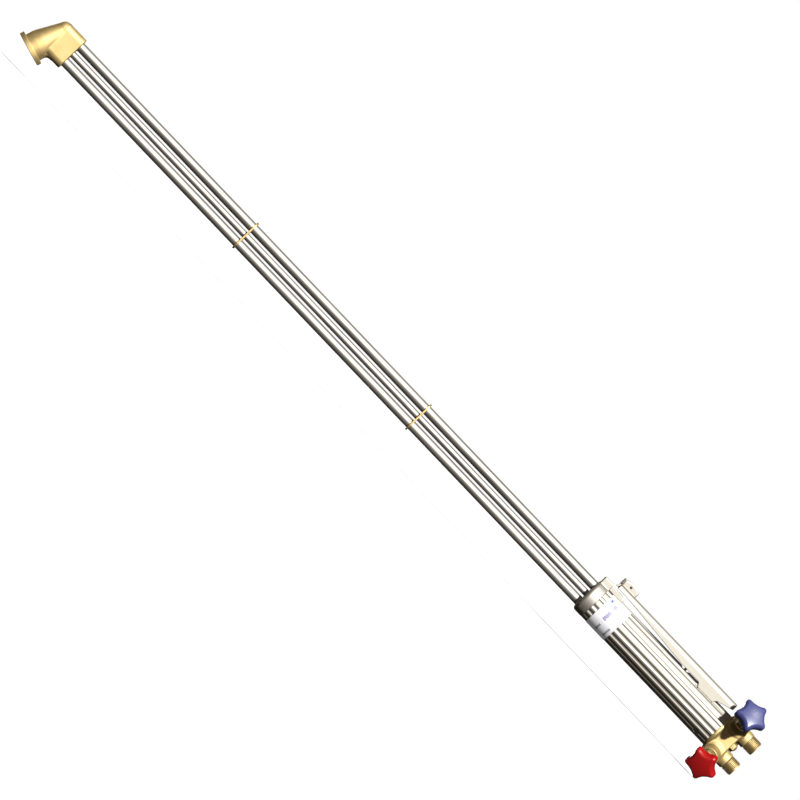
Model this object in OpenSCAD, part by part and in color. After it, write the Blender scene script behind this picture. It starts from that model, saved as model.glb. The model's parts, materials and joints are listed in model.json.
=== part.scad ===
// Long-reach hand cutting torch for oxygen and propane: three tubes between an angled
// brass head and a fluted handle, with a squeeze lever and two star-knob needle valves.
// The origin is the centre of the nozzle socket's mouth. +X runs along the barrel to the
// hose inlets and +Z is the lever side. Heights named *_z are measured from the barrel axis.

/* [Barrel] */
// Length of the bare tubes between the head and the handle
barrel_len = 727; // [500:1:1000]
// Outer diameter of the cutting oxygen tube and the fuel tube
main_tube_d = 10; // [9:0.5:11]
// Outer diameter of the heating oxygen tube between them
pilot_tube_d = 7; // [6:0.5:8]
// Wall thickness of all three tubes
tube_wall = 1; // [0.8:0.1:1.5]
// Height of each outer tube above or below the barrel axis
tube_z = 10.5; // [10:0.1:11]
// Thickness of the two brass clips that hold the tubes in line
clip_t = 2; // [1.5:0.1:3]
// Distance from the head to the first clip, and from there to the second
clip_spacing = 244.6; // [150:0.1:248]

/* [Head] */
// Angle between the nozzle and the barrel
head_angle = 75; // [72:1:80]
// Height of the barrel axis above the nozzle socket's mouth
axis_h = 28; // [27.5:0.5:29]
// Diameter of the flange round the nozzle socket
flange_d = 36; // [35:0.5:38]
// Thickness of that flange
flange_t = 4.7; // [4:0.1:6]
// Diameter of the neck above the flange
neck_d = 28.4; // [27:0.2:30]
// Height of the block that takes the tubes
block_h = 38.4; // [38:0.2:42]
// Thickness of that block
block_w = 20; // [18:0.5:22]
// Radius of the nozzle nut's threaded hole
socket_r = 11.2; // [10.5:0.1:11.5]
// Length of that thread
socket_len = 10; // [8:0.5:11]

/* [Handle] */
// Diameter of the fluted handle
handle_d = 39; // [37:0.5:40]
// Length of the fluted sleeve
sleeve_len = 171.5; // [165:0.5:200]
// Length of the smooth cap in front of the sleeve
cap_len = 12; // [10:0.5:16]
// Number of flutes round the sleeve
flute_count = 18; // [12:2:22]
// Depth of each flute
flute_depth = 1; // [0.6:0.1:1.2]

/* [Lever] */
// Outer width of the lever's channel
lever_w = 21.8; // [21.4:0.2:22.2]
// Thickness of the lever's sheet metal
sheet = 1.2; // [1:0.1:1.4]
// Height of the lever's top face above the barrel axis
lever_top_z = 31.2; // [30.5:0.1:32]

/* [Valves and inlets] */
// Distance from the barrel axis to the axis of each hose inlet
inlet_z = 14.2; // [14:0.1:15]
// Outside diameter of the inlet thread (G 3/8)
inlet_thread_d = 16.66; // [16:0.01:16.8]
// Pitch of the inlet thread
inlet_pitch = 1.337; // [1.2:0.001:1.5]
// Tip-to-tip diameter of the star knobs
knob_d = 34.4; // [32:0.2:35]
// Height of the star knobs, without the hub
knob_h = 10.9; // [9:0.1:12]
// Tilt of each needle valve, up or down from the torch's side
valve_tilt = 30; // [25:1:35]
// Distance from an inlet's axis to the back of its knob
knob_reach = 34; // [33:0.5:40]

/* [Hidden] */
$fn = 96;

brass = [0.80, 0.66, 0.36];
nickel = [0.80, 0.78, 0.74];
steel = [0.72, 0.71, 0.69];
rubber = [0.08, 0.08, 0.08];
paper = [0.95, 0.95, 0.96];
knob_blue = [0.23, 0.25, 0.52];
knob_red = [0.68, 0.06, 0.06];

// gap of a brazed, pressed or screwed joint, and of a sliding one, on the radius
snug = 0.05;
slide = 0.05;
past = 1; // how far a cutting shape runs past the face it opens

// stations along the barrel
head_rear_x = 33;
socket_depth = 10;
cap_x = head_rear_x + barrel_len;
sleeve_x = cap_x + cap_len;
body_x = sleeve_x + sleeve_len;
body_front_x = body_x - 81.5;
body_rear_x = body_x + 21.5;
thread_x = body_x + 29.5;
inlet_end_x = body_x + 41;
cutting_valve_x = body_x - 63.5;
pivot_x = body_x - 33;
valve_x = body_x + 12.8;
clip_xs = [for (i = [1, 2]) head_rear_x + i * clip_spacing];

handle_r = handle_d / 2;
spigot_r = handle_r - 2.9;
bore_r = handle_r - 2.6;
tube_end_x = body_front_x + 8;
pivot_z = 8;
latch_x = sleeve_x + 13.9;
latch_z = lever_top_z + 3.9;
wall_y = lever_w / 2 - sheet; // inner face of the lever's side walls

// ---- placing ----

// a shape whose axis is Z, laid along the barrel from x
module along_x(x, z = 0, y = 0)
    translate([x, y, axis_h + z]) rotate([0, 90, 0]) children();

// a 2D profile drawn in (y, z) from the barrel axis and extruded towards +X
module across(x, length)
    translate([x, 0, axis_h]) rotate([90, 0, 90]) linear_extrude(length) children();

// a 2D profile drawn in (x, z) from the barrel axis and extruded evenly to both sides
module side_on(width)
    translate([0, 0, axis_h]) rotate([90, 0, 0]) linear_extrude(width, center = true) children();

// the nozzle's frame: +Z runs from the socket's mouth into the head
module nozzle_frame() rotate([0, 90 - head_angle, 0]) children();

// a needle valve's frame: +Z runs from the inlet's axis out to the knob; side is 1 or -1
module valve_frame(side)
    translate([valve_x, 0, axis_h + side * inlet_z]) rotate([90 - side * valve_tilt, 0, 0])
        children();

// the cutting valve's frame: +Z runs up to the lever
module cutting_valve_frame() translate([cutting_valve_x, 0, axis_h]) children();

// a straight drilled passage between two points [x, y, z] with z from the barrel axis
module drilling(from, to, r) {
    d = to - from;
    length = norm(d);
    translate(from + [0, 0, axis_h])
        rotate([0, acos(d.z / length), atan2(d.y, d.x)])
            cylinder(r = r, h = length, $fn = 32);
}

// a cylinder whose lower edge is rounded
module rounded_disc(r, h, edge) {
    cylinder(r = r - edge, h = h);
    translate([0, 0, edge]) cylinder(r = r, h = h - edge);
    translate([0, 0, edge]) rotate_extrude() translate([r - edge, 0]) circle(r = edge);
}

module ring(outer, inner, h) difference() {
    cylinder(r = outer, h = h);
    translate([0, 0, -past]) cylinder(r = inner, h = h + 2 * past);
}

module o_ring(mean, section)
    rotate_extrude() translate([mean, 0]) circle(r = section, $fn = 32);

// a rectangle from corner a to corner b with rounded corners
module rounded_rect(a, b, r) union() {
    translate([a.x + r, a.y]) square([b.x - a.x - 2 * r, b.y - a.y]);
    translate([a.x, a.y + r]) square([b.x - a.x, b.y - a.y - 2 * r]);
    for (x = [a.x + r, b.x - r], y = [a.y + r, b.y - r]) translate([x, y]) circle(r = r);
}

// ---- barrel ----

tube_heights = [tube_z, 0, -tube_z];
tube_diameters = [main_tube_d, pilot_tube_d, main_tube_d];

module tube(which) along_x(head_rear_x - socket_depth, tube_heights[which])
    ring(tube_diameters[which] / 2, tube_diameters[which] / 2 - tube_wall,
         tube_end_x - head_rear_x + socket_depth);

// holes for the three tubes, with a radial gap
module tube_holes(x, length, gap) for (which = [0:2])
    along_x(x, tube_heights[which]) cylinder(r = tube_diameters[which] / 2 + gap, h = length);

module cutting_oxygen_tube() color(steel) tube(0);
module heating_oxygen_tube() color(steel) tube(1);
module fuel_tube() color(steel) tube(2);

clip_r = main_tube_d / 2 + 2;
module tube_clips() color(brass) for (x = clip_xs) difference() {
    across(x - clip_t / 2, clip_t)
        rounded_rect([-clip_r, -tube_z - clip_r], [clip_r, tube_z + clip_r], clip_r - 0.01);
    tube_holes(x - clip_t, 2 * clip_t, snug);
}

// ---- head ----

crown_r = 7.6; // ball that rounds the head's top corner
crown_t = 41;  // its distance into the head along the nozzle axis
crown = [crown_t * cos(head_angle), crown_t * sin(head_angle) - axis_h];
neck_t = 13;   // where the neck starts to taper
web_r = 7;     // hollow between the neck and the block's underside
web_corner = [15.4, -block_h / 2];

module head_casting() {
    nozzle_frame() {
        cylinder(r = flange_d / 2, h = flange_t);
        cylinder(r = neck_d / 2, h = neck_t);
        translate([0, 0, neck_t]) cylinder(r1 = neck_d / 2, r2 = crown_r, h = crown_t - neck_t);
        translate([0, 0, crown_t]) sphere(r = crown_r);
    }
    across(crown.x, head_rear_x - crown.x)
        rounded_rect([-block_w / 2, -block_h / 2], [block_w / 2, block_h / 2], 7.5);
    // web that fills the corner under the block
    side_on(block_w - 4) difference() {
        translate(web_corner - [4, web_r]) square([web_r + 4, web_r + 3]);
        translate(web_corner + [web_r, -web_r]) circle(r = web_r);
    }
}

module torch_head() color(brass) difference() {
    head_casting();
    nozzle_frame() {
        translate([0, 0, -past]) cylinder(r = socket_r, h = socket_len + past);
        translate([0, 0, socket_len - 0.01]) cylinder(r1 = 9.6, r2 = 7.4, h = 5);
        translate([0, 0, socket_len + 4.9]) cylinder(r = 7.4, h = 1.6);
        translate([0, 0, socket_len + 6.4]) cylinder(r1 = 6.2, r2 = 4.4, h = 5);
        translate([0, 0, socket_len + 11.3]) cylinder(r = 2.6, h = 3.7);
    }
    tube_holes(head_rear_x - socket_depth, socket_depth + past, snug);
    drilling([6.2, 0, -5], [head_rear_x - socket_depth + 0.5, 0, tube_z], 2);
    drilling([10, 0, -11.5], [head_rear_x - socket_depth + 0.5, 0, 0], 1.4);
    drilling([12, 0, -16], [head_rear_x - socket_depth + 0.5, 0, -tube_z], 1.4);
}

// ---- handle ----

step_w = 18;      // width of the lever rest on the cap
step_z = 25.4;    // its top
tongue_w = 14.6;  // width of the tongue behind it, which carries the latch pocket
tongue_z = 23.6;
hook_w = 6;       // width of the latch's hook

module handle_front_cap() color(nickel) difference() {
    union() {
        along_x(cap_x) rounded_disc(handle_r, cap_len, 3);
        // spigot in the sleeve
        along_x(sleeve_x - past) cylinder(r = bore_r - snug, h = 12);
        across(cap_x + 1, cap_len - 0.8)
            rounded_rect([-step_w / 2, 0], [step_w / 2, step_z], 1.2);
        side_on(tongue_w) polygon([[sleeve_x - 1, 15], [sleeve_x - 1, tongue_z],
            [sleeve_x + 14, tongue_z], [sleeve_x + 18.5, 21.4], [sleeve_x + 18.5, 15]]);
    }
    // the tongue rests on the sleeve
    along_x(sleeve_x) ring(handle_r + snug, bore_r - snug, 30);
    along_x(sleeve_x + 12 - past) cylinder(r = bore_r, h = 30);
    tube_holes(cap_x - past, 30, 0.15);
    // pocket for the latch's hook, with the undercut that it catches
    across(sleeve_x + 0.2, 6.2) translate([-hook_w / 2 - 0.4, 19.9]) square([hook_w + 0.8, 9]);
    across(sleeve_x - 1.4, 2) translate([-hook_w / 2 - 0.4, 21.6]) square([hook_w + 0.8, 2.6]);
}

flute_r = 3.2;
slot_w = 1.6;     // slots that the lever's ears pass through
screw_x = body_x - 13.5;
screw_angle = 52; // of the handle screws, below the torch's sides

// a handle screw's frame: +Z points out of the handle
module screw_frame(side)
    translate([screw_x, 0, axis_h]) rotate([side * (90 + screw_angle), 0, 0]) children();

module handle_sleeve() color(nickel) difference() {
    along_x(sleeve_x) ring(handle_r, bore_r, sleeve_len);
    for (i = [0:flute_count - 1]) {
        a = (i + 0.5) * 360 / flute_count;
        long = abs(cos(a)) > 0.5 || sin(a) < 0; // flutes beside the lever's ears stop short
        c = handle_r - flute_depth + flute_r;
        along_x(sleeve_x - past, c * sin(a), c * cos(a))
            cylinder(r = flute_r, h = long ? sleeve_len + 2 * past : sleeve_len - 46, $fn = 48);
    }
    for (side = [-1, 1]) {
        translate([pivot_x - 13.5, side * (wall_y + sheet / 2) - slot_w / 2, axis_h + 4])
            cube([60, slot_w, 20]);
        screw_frame(side) {
            cylinder(r = 2.1, h = 30);
            translate([0, 0, handle_r - 2.6]) cylinder(r1 = 2.1, r2 = 3.8, h = 1.7);
            translate([0, 0, handle_r - 0.91]) cylinder(r = 3.8, h = 3);
        }
    }
    cutting_valve_frame() cylinder(r = 6.2, h = 30);
}

module handle_screws() color(steel) for (side = [-1, 1]) screw_frame(side) difference() {
    union() {
        translate([0, 0, handle_r - 9]) cylinder(r = 1.95, h = 7);
        translate([0, 0, handle_r - 2.6]) cylinder(r1 = 1.95, r2 = 3.6, h = 1.65);
        translate([0, 0, handle_r - 0.96]) cylinder(r = 3.6, h = 0.35);
    }
    translate([-4, -0.5, handle_r - 1.5]) cube([8, 1, 2]);
}

label_x = sleeve_x + 6.8;
label_w = 25.4;
label_t = 0.18;
label_gap = 48; // angle left open at the top, for the cap's tongue

module handle_label() color(paper) along_x(label_x)
    rotate([0, 0, 180 + label_gap / 2]) rotate_extrude(angle = 360 - label_gap)
        translate([handle_r + 0.03, 0]) square([label_t, label_w]);

// ---- valve body ----

block_r = 19.1;
flat_y = 11.5; // half the block's thickness between its flat sides
boss_r = 9.75;
boss_len = 20;
root_r = 8.8;

// crests and hollows of an inlet thread as (radius, height) points, from its root outwards
function thread_profile(r, pitch, turns) = [for (i = [0:turns - 1], p = [
    [r - 0.85, i], [r, i + 0.35], [r, i + 0.65]]) [p[0], p[1] * pitch]];

inlet_turns = 8;
module inlet_spigot() {
    cylinder(r = root_r, h = thread_x - body_x - 10.5);
    translate([0, 0, thread_x - body_x - 10.5]) rotate_extrude() polygon(concat(
        [[0, -past], [inlet_thread_d / 2 - 0.85, -past]],
        thread_profile(inlet_thread_d / 2, inlet_pitch, inlet_turns),
        [[inlet_thread_d / 2 - 0.85, inlet_turns * inlet_pitch],
         [inlet_thread_d / 2 - 1.3, inlet_end_x - thread_x],
         [0, inlet_end_x - thread_x]]));
}

collar_r = handle_r - 0.2;
collar_t = 3;     // collar that the sleeve butts against
shoulder_t = 2.5; // cone from the collar down to the flat sides
chamfer = 1.5;    // of the block's rear edge
module body_casting() {
    along_x(body_front_x) cylinder(r = spigot_r, h = body_x - body_front_x + past);
    along_x(body_x) cylinder(r = collar_r, h = collar_t);
    along_x(body_x + collar_t - 0.01) cylinder(r1 = block_r, r2 = flat_y, h = shoulder_t);
    intersection() {
        union() {
            along_x(body_x + 1) cylinder(r = block_r, h = body_rear_x - chamfer - body_x - 1);
            along_x(body_rear_x - chamfer - 0.01)
                cylinder(r1 = block_r, r2 = block_r - chamfer, h = chamfer + 0.01);
        }
        translate([body_x, -flat_y, axis_h - handle_r])
            cube([body_rear_x - body_x + past, 2 * flat_y, handle_d]);
    }
    for (side = [-1, 1]) {
        along_x(body_x + 10.5, side * inlet_z) inlet_spigot();
        along_x(body_x + 4.5, side * inlet_z) cylinder(r1 = 4, r2 = root_r, h = 6.01);
        valve_frame(side) {
            cylinder(r = boss_r + 1.9, h = 8);
            translate([0, 0, 7.99]) cylinder(r1 = boss_r + 1.9, r2 = boss_r, h = 2);
            cylinder(r = boss_r, h = boss_len);
        }
    }
}

passage_y = [-8.4, -7.7]; // side passages round the cutting valve: fuel, oxygen
passage_r = 1.5;
cross_r = 1.2;
chamber_t = 9; // where a needle valve's chamber is drilled into, along the valve

ear_room = 14.5; // space in front of the pivot for a lever's ear
module body_bores() {
    // inlets with a coned seat, and the needle valves' bores
    for (side = [-1, 1]) {
        along_x(valve_x - 4, side * inlet_z) cylinder(r = 4, h = 60);
        along_x(inlet_end_x - 3, side * inlet_z) cylinder(r1 = 4, r2 = 6, h = 3.01);
        valve_frame(side) {
            cylinder(r = 1.6, h = 7);
            translate([0, 0, 6]) cylinder(r = 4.05, h = 8);
            translate([0, 0, 13]) cylinder(r = 6, h = 8);
        }
        // from each needle valve forward to its tube: a long passage with cross drillings
        y = passage_y[(side + 1) / 2];
        z = side > 0 ? 1.2 : -tube_z;
        far = [valve_x, -chamber_t * cos(valve_tilt),
               side * (inlet_z + chamber_t * sin(valve_tilt))];
        turn = [body_x + 6.5, y, z];
        front = [tube_end_x + 2, y, z];
        drilling(far, turn, cross_r);
        drilling(turn + [passage_r, 0, 0], front - [passage_r, 0, 0], passage_r);
        drilling(front, [tube_end_x + 2, 0, side > 0 ? 0 : -tube_z], cross_r);
    }
    tube_holes(body_front_x - past, tube_end_x - body_front_x + past, snug);
    for (z = [0, -tube_z]) along_x(tube_end_x - past, z) cylinder(r = 2, h = 4.5, $fn = 32);
    // cutting oxygen: inlet, gallery, cutting valve, upper tube
    drilling([body_x + 12, 0, inlet_z], [body_x + 12, 0, 0], 2.5);
    along_x(cutting_valve_x) cylinder(r = 2.5, h = 200);
    along_x(body_rear_x - 8) cylinder(r = 4, h = 20);
    along_x(tube_end_x - past, tube_z) cylinder(r = 2.5, h = cutting_valve_x - tube_end_x + 1);
    cutting_valve_frame() {
        translate([0, 0, 13.4]) cylinder(r = 6, h = 10);
        translate([0, 0, 6]) cylinder(r = 4.5, h = 8);
        translate([0, 0, 3]) cylinder(r = 3, h = 4);
        translate([0, 0, -11.5]) cylinder(r = 5, h = 15);
        translate([0, 0, -20]) cylinder(r = 6, h = 9);
    }
    // flats for the lever's ears, the pivot pin's hole and the handle screws' holes
    for (side = [-1, 1]) {
        translate([pivot_x - ear_room, side * (wall_y + 4.8) - 5, axis_h + 1])
            cube([body_x - 2 - pivot_x + ear_room, 10, 20]);
        screw_frame(side) translate([0, 0, handle_r - 10]) cylinder(r = 2, h = 8);
    }
    translate([pivot_x, 0, axis_h + pivot_z]) rotate([90, 0, 0])
        cylinder(r = 2 + snug, h = 40, center = true);
}

module valve_body() color(brass) difference() {
    body_casting();
    body_bores();
}

module gallery_plug() color(brass) along_x(body_rear_x) {
    translate([0, 0, -6]) cylinder(r = 4 - snug, h = 6.1);
    translate([0, 0, 0.05]) cylinder(r = 5.4, h = 4, $fn = 6);
    difference() {
        translate([0, 0, 1]) sphere(r = 5);
        translate([0, 0, -8]) cube([20, 20, 20], center = true);
    }
}

// ---- lever and latch ----

lever_front_x = sleeve_x + 5.5;
lever_rear_x = body_x - 3;
ear_r = 6;
ear_w = 23.6;

// a side wall's outline in (x, z)
module lever_outline() {
    polygon([
        [lever_front_x, lever_top_z], [lever_rear_x, lever_top_z], [lever_rear_x, 24.4],
        [pivot_x + ear_w / 2 + 1.6, 19.5], [pivot_x + ear_w / 2, 18],
        [pivot_x + ear_r, pivot_z], [pivot_x - ear_r, pivot_z],
        [pivot_x - ear_w / 2, 18], [pivot_x - ear_w / 2 - 1.6, 19.6],
        [pivot_x - 40, 19.8], [lever_front_x + 15, 25.5], [lever_front_x, 25.8]]);
    translate([pivot_x, pivot_z]) circle(r = ear_r);
}

// the lever's channel section in (y, z): a sheet folded down at both sides
bend_r = 5.4;
module channel_section() difference() {
    rounded_rect([-lever_w / 2, -10], [lever_w / 2, lever_top_z], bend_r);
    rounded_rect([-wall_y, -20], [wall_y, lever_top_z - sheet], bend_r - sheet);
}

bracket_y = 3.7;  // inner face of the latch's two brackets
bracket_t = 1.2;

// a latch bracket's outline in (x, z): a low dome
module bracket_outline() intersection() {
    translate([latch_x + 0.6, lever_top_z - 7.7]) circle(r = 16.4);
    translate([latch_x - 8.2, lever_top_z - 0.6]) square([18.2, 12]);
    translate([latch_x + 0.4, latch_z - 1]) circle(r = 9.6);
}

module lever() color(nickel) difference() {
    union() {
        intersection() {
            side_on(lever_w + 2) lever_outline();
            across(lever_front_x - past, lever_rear_x - lever_front_x + 2 * past)
                channel_section();
        }
        for (side = [-1, 1])
            translate([0, side * (bracket_y + bracket_t / 2), 0])
                side_on(bracket_t) bracket_outline();
    }
    translate([pivot_x, 0, axis_h + pivot_z]) rotate([90, 0, 0])
        cylinder(r = 2 + slide, h = 40, center = true);
    translate([latch_x, 0, axis_h + latch_z]) rotate([90, 0, 0])
        cylinder(r = 1.2 + snug, h = 40, center = true);
}

module lever_pivot_pin() color(steel) translate([pivot_x, 0, axis_h + pivot_z])
    rotate([90, 0, 0]) cylinder(r = 2, h = 22.4, center = true);

module latch_pin() color(steel) translate([latch_x, 0, axis_h + latch_z])
    rotate([90, 0, 0]) cylinder(r = 1.2, h = 10, center = true);

// thumb plate in front of the brackets, on an arm between them; its hook hangs before the
// lever's end and catches under the cap's step while the lever is held down
plate_x = latch_x - 10.7;
plate_t = 2;
hook_z = 26.3;
module lever_latch() color(nickel) difference() {
    union() {
        side_on(2 * bracket_y - 0.4) {
            translate([latch_x, latch_z]) circle(r = 3.6);
            translate([plate_x + 1, latch_z - 3.6]) square([latch_x - plate_x - 1, 5.4]);
        }
        across(plate_x, plate_t) {
            rounded_rect([-bracket_y - bracket_t, latch_z - 3.8],
                         [bracket_y + bracket_t, latch_z + 2.8], 1.5);
            translate([-hook_w / 2, hook_z]) square([hook_w, 8]);
        }
        side_on(hook_w) polygon([[plate_x - 1.5, hook_z], [plate_x + 1, hook_z],
            [plate_x + 1, hook_z + 2], [plate_x - 1.5, hook_z + 0.8]]);
    }
    translate([latch_x, 0, axis_h + latch_z]) rotate([90, 0, 0])
        cylinder(r = 1.2 + slide, h = 40, center = true);
}

// ---- cutting valve ----

poppet_z = 0.4;
stem_r = 1.5;

module cutting_valve_plunger() color(steel) cutting_valve_frame() {
    translate([0, 0, -3]) cylinder(r = 1.8, h = 3.5);
    translate([0, 0, poppet_z]) cylinder(r = 4.4, h = 2.6);
    cylinder(r = stem_r, h = 27);
    intersection() {
        translate([0, 0, 25]) cylinder(r = 3, h = 6);
        translate([0, 0, lever_top_z - sheet - 6.1]) sphere(r = 6);
    }
}

module cutting_valve_seat_seal() color(rubber) cutting_valve_frame()
    translate([0, 0, 3.02]) difference() {
        cylinder(r = 4.2, h = 0.45);
        translate([0, 0, -past]) cylinder(r = stem_r + 0.02, h = 3);
    }

module cutting_valve_gland() color(brass) cutting_valve_frame() difference() {
    translate([0, 0, 13.6]) cylinder(r = 6 - snug, h = 4.2);
    // slot for a screwdriver
    translate([-10, -0.8, 16.8]) cube([20, 1.6, 5]);
    translate([0, 0, 5]) cylinder(r = stem_r + 0.03, h = 20);
    translate([0, 0, 12]) cylinder(r = 3, h = 3.6);
}

module cutting_valve_stem_seal() color(rubber) cutting_valve_frame()
    translate([0, 0, 14.8]) o_ring(2.22, 0.68);

// coil wound round Z from the origin up: points on rings of the wire, joined in order
module coil(mean, wire, height, turns) {
    steps = turns * 20;
    sides = 8;
    points = [for (i = [0:steps], j = [0:sides - 1])
        let (a = i * 18, b = j * 360 / sides, r = mean + wire / 2 * cos(b))
            [r * cos(a), r * sin(a), wire / 2 + i / steps * (height - wire) + wire / 2 * sin(b)]];
    skin = [for (i = [0:steps - 1], j = [0:sides - 1])
        let (k = (j + 1) % sides)
            [i * sides + j, i * sides + k, (i + 1) * sides + k, (i + 1) * sides + j]];
    first = [for (j = [0:sides - 1]) sides - 1 - j];
    last = [for (j = [0:sides - 1]) steps * sides + j];
    polyhedron(points, concat([first], skin, [last]), convexity = 10);
}

spring_foot_z = -10.95;
module cutting_valve_spring() color(steel) cutting_valve_frame()
    translate([0, 0, spring_foot_z]) coil(3.3, 0.9, poppet_z - spring_foot_z - 0.02, 6);

module cutting_valve_plug() color(brass) cutting_valve_frame() difference() {
    translate([0, 0, -15]) cylinder(r = 6 - snug, h = 4);
    translate([0, 0, -17]) cylinder(r = 2.5, h = 4.5, $fn = 6);
}

// ---- needle valves ----

module gland_nut(side) color(brass) valve_frame(side) difference() {
    union() {
        translate([0, 0, 13.2]) cylinder(r = 6 - snug, h = 8);
        translate([0, 0, boss_len + 0.1]) cylinder(r = 9.6, h = 6.4, $fn = 6);
    }
    translate([0, 0, 12]) cylinder(r = spindle_r + slide, h = 20);
    translate([0, 0, 12]) cylinder(r = 4.2, h = 6.6);
}

seal_z = 14.5; // the middle of the spindle's O-ring, along the valve
groove_w = 2;  // the width of its groove
spindle_r = 3;
hub_r = 2.6;   // the spindle's end in the knob

module spindle(side) color(steel) valve_frame(side) {
    translate([0, 0, 4.6]) cylinder(r1 = 0.6, r2 = 1.55, h = 1.4);
    translate([0, 0, 6]) cylinder(r1 = 1.55, r2 = 2.4, h = 1.01);
    translate([0, 0, 7]) cylinder(r = 3.98, h = 5.5);
    translate([0, 0, 12.4]) cylinder(r = spindle_r, h = seal_z - groove_w / 2 - 12.4);
    translate([0, 0, seal_z - groove_w / 2 - 0.1]) cylinder(r = 2.2, h = groove_w + 0.2);
    translate([0, 0, seal_z + groove_w / 2])
        cylinder(r = spindle_r, h = knob_reach - 2.8 - seal_z - groove_w / 2);
    translate([0, 0, knob_reach - 3]) cylinder(r = hub_r, h = 10.2);
}

module spindle_seal(side) color(rubber) valve_frame(side)
    translate([0, 0, seal_z]) o_ring(3.18, 0.93);

lobes = 5;
hollow_r = 14.5; // radius of the hollows between the star's tips
hollow_depth = 4.6;
module star_knob(side) valve_frame(side) difference() {
    union() {
        translate([0, 0, knob_reach]) cylinder(r = knob_d / 2, h = knob_h - 1.5);
        translate([0, 0, knob_reach + knob_h - 1.51])
            cylinder(r1 = knob_d / 2, r2 = knob_d / 2 - 2, h = 1.51);
    }
    for (i = [0:lobes - 1]) rotate([0, 0, 36 + i * 360 / lobes])
        translate([knob_d / 2 - hollow_depth + hollow_r, 0, knob_reach - past])
            cylinder(r = hollow_r, h = knob_h + 2 * past);
    translate([0, 0, knob_reach - past]) cylinder(r = hub_r + snug, h = 8.4);
}

module oxygen_gland_nut() gland_nut(1);
module oxygen_spindle() spindle(1);
module oxygen_spindle_seal() spindle_seal(1);
module oxygen_knob() color(knob_blue) star_knob(1);
module fuel_gland_nut() gland_nut(-1);
module fuel_spindle() spindle(-1);
module fuel_spindle_seal() spindle_seal(-1);
module fuel_knob() color(knob_red) star_knob(-1);

// ---- the nodes ----

torch_head();
cutting_oxygen_tube();
heating_oxygen_tube();
fuel_tube();
tube_clips();
handle_front_cap();
handle_sleeve();
handle_label();
handle_screws();
valve_body();
gallery_plug();
lever();
lever_pivot_pin();
lever_latch();
latch_pin();
cutting_valve_plunger();
cutting_valve_gland();
cutting_valve_stem_seal();
cutting_valve_seat_seal();
cutting_valve_spring();
cutting_valve_plug();
oxygen_gland_nut();
oxygen_spindle();
oxygen_spindle_seal();
oxygen_knob();
fuel_gland_nut();
fuel_spindle();
fuel_spindle_seal();
fuel_knob();
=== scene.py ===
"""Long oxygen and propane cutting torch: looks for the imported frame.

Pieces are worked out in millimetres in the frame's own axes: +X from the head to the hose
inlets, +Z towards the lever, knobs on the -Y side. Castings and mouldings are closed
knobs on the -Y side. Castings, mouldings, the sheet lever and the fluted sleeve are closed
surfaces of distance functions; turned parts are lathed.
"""
import json
import math

import bpy
import numpy as np
from mathutils import Matrix, Vector


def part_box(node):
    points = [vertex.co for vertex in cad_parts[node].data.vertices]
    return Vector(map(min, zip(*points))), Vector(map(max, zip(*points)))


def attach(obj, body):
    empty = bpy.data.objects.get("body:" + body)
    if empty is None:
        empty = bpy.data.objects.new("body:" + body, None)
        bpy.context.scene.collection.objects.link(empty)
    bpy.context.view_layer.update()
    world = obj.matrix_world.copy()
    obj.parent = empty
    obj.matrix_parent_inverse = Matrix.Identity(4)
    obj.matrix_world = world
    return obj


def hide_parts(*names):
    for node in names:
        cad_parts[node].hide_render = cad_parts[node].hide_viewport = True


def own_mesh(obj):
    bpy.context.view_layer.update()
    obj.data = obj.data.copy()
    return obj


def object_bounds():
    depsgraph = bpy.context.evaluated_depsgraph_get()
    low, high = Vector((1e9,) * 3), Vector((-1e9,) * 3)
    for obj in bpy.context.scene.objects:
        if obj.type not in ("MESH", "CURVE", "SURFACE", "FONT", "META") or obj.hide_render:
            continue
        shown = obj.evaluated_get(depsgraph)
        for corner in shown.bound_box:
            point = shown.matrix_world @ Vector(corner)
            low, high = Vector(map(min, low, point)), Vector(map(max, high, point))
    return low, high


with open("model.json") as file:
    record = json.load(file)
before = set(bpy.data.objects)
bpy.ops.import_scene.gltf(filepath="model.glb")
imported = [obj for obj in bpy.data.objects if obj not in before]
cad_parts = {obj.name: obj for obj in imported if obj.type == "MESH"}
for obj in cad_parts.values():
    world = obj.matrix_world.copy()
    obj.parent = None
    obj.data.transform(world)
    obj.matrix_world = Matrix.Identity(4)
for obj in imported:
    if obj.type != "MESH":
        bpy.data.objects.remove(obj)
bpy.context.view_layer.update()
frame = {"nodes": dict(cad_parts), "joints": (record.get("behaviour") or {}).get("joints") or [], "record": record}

MM = 0.001


# ---------------------------------------------------------------- the frame's measures

def box_mm(node):
    """Lowest and highest corner of a CAD node, in millimetres."""
    lo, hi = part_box(node)
    return np.array(lo) / MM, np.array(hi) / MM


def mount_mm(name):
    """A mount's centre in millimetres and its outward direction."""
    m = next(m for m in frame["record"]["mounts"] if m["name"] == name)
    return np.array(m["pos_m"]) / MM, np.array(m["axis"], float)


def joint_mm(name):
    """A hinge's centre in millimetres and its direction."""
    j = next(j for j in frame["joints"] if j["name"] == name)
    return np.array(j["pos_m"]) / MM, np.array(j["axis"], float)


def middle(node):
    lo, hi = box_mm(node)
    return (lo + hi) / 2


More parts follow.
